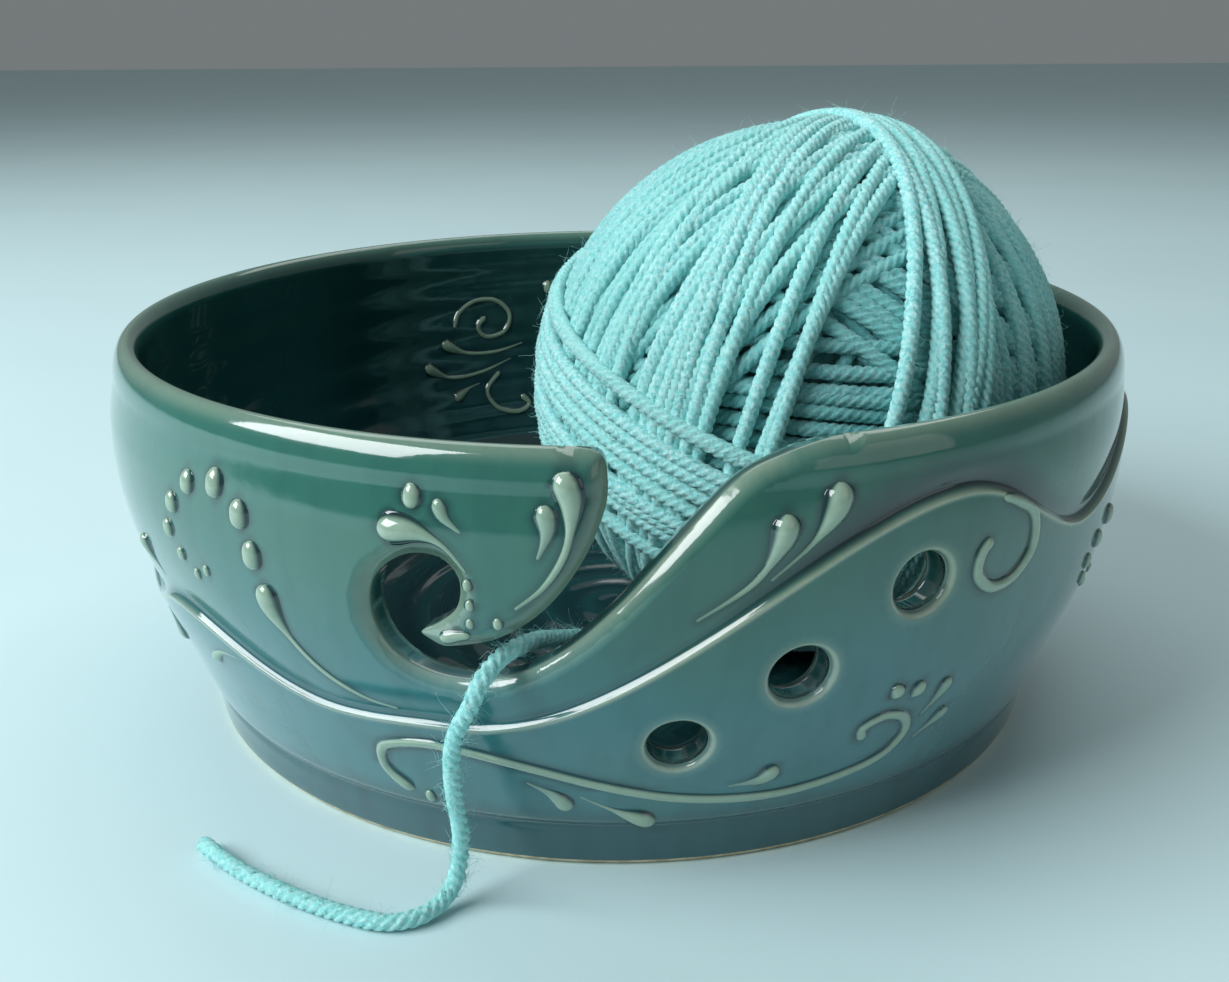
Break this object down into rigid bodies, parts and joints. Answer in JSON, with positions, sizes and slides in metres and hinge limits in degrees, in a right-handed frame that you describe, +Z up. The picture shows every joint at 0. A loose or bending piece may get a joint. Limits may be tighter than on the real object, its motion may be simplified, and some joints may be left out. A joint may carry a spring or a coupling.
{
  "type": "yarn bowl",
  "caption": "Glazed stoneware yarn bowl with a spiral yarn slot, needle holes and slip-trailed waves, holding a wound yarn ball that turns as its strand is drawn.",
  "frame": {"origin": "centre of the foot ring, on the surface that the bowl stands on", "axes": "+Z up; the yarn slot faces -Y; +X is to the right when looking at the slot"},
  "size_m": [0.1804, 0.1833, 0.1024],
  "materials": {
    "stoneware_glaze": "glossy translucent teal celadon glaze over stoneware, dark where it pools and pale where it breaks over edges; unglazed cream foot",
    "slip_glaze": "white slip trails under the same glossy glaze, pale on top",
    "yarn": "soft plied worsted yarn, pale aqua"
  },
  "bodies": {
    "bowl": {"back_hanging_drop": "slip_glaze", "back_lower_drop": "slip_glaze", "back_rising_drop": "slip_glaze", "back_tendril": "slip_glaze", "back_upper_drop": "slip_glaze", "bowl_body": "stoneware_glaze", "hook_comma": "slip_glaze", "hook_dot_1": "slip_glaze", "hook_dot_2": "slip_glaze", "hook_dot_3": "slip_glaze", "hook_dot_4": "slip_glaze", "hook_dot_5": "slip_glaze", "hook_drop": "slip_glaze", "hook_tip_bead": "slip_glaze", "inner_first_drop": "slip_glaze", "inner_lower_spiral": "slip_glaze", "inner_second_drop": "slip_glaze", "inner_spiral_dot_1": "slip_glaze", "inner_third_drop": "slip_glaze", "inner_upper_spiral": "slip_glaze", "left_base_drop": "slip_glaze", "left_spiral_dot_1": "slip_glaze", "left_spiral_dot_2": "slip_glaze", "left_spiral_dot_3": "slip_glaze", "left_spiral_dot_4": "slip_glaze", "left_spiral_dot_5": "slip_glaze", "left_spiral_dot_6": "slip_glaze", "left_spiral_dot_7": "slip_glaze", "left_spiral_dot_8": "slip_glaze", "left_spiral_dot_9": "slip_glaze", "left_spiral_drop": "slip_glaze", "left_wave_arch": "slip_glaze", "left_wave_drop": "slip_glaze", "lip_long_drop": "slip_glaze", "lip_short_drop": "slip_glaze", "right_spiral_dot_1": "slip_glaze", "right_spiral_dot_2": "slip_glaze", "right_spiral_dot_3": "slip_glaze", "right_spiral_dot_4": "slip_glaze", "right_spiral_dot_5": "slip_glaze", "right_spiral_dot_6": "slip_glaze", "tendril": "slip_glaze", "tendril_dot_1": "slip_glaze", "tendril_dot_2": "slip_glaze", "tendril_first_hanging_drop": "slip_glaze", "tendril_left_bead": "slip_glaze", "tendril_lower_drop": "slip_glaze", "tendril_right_bead": "slip_glaze", "tendril_rising_drop": "slip_glaze", "tendril_second_hanging_drop": "slip_glaze", "tendril_upper_drop": "slip_glaze", "tongue_long_drop": "slip_glaze", "tongue_short_drop": "slip_glaze", "wave_curl": "slip_glaze", "yarn_strand": "yarn"},
    "yarn_ball": {"yarn_ball": "yarn"}
  },
  "joints": [
    {"name": "ball_turn", "type": "hinge", "parent": "bowl", "child": "yarn_ball", "pos_m": [0.0328, -0.01, 0.0549], "axis": [-0.8944, 0.4472, 0], "continuous": true}
  ]
}
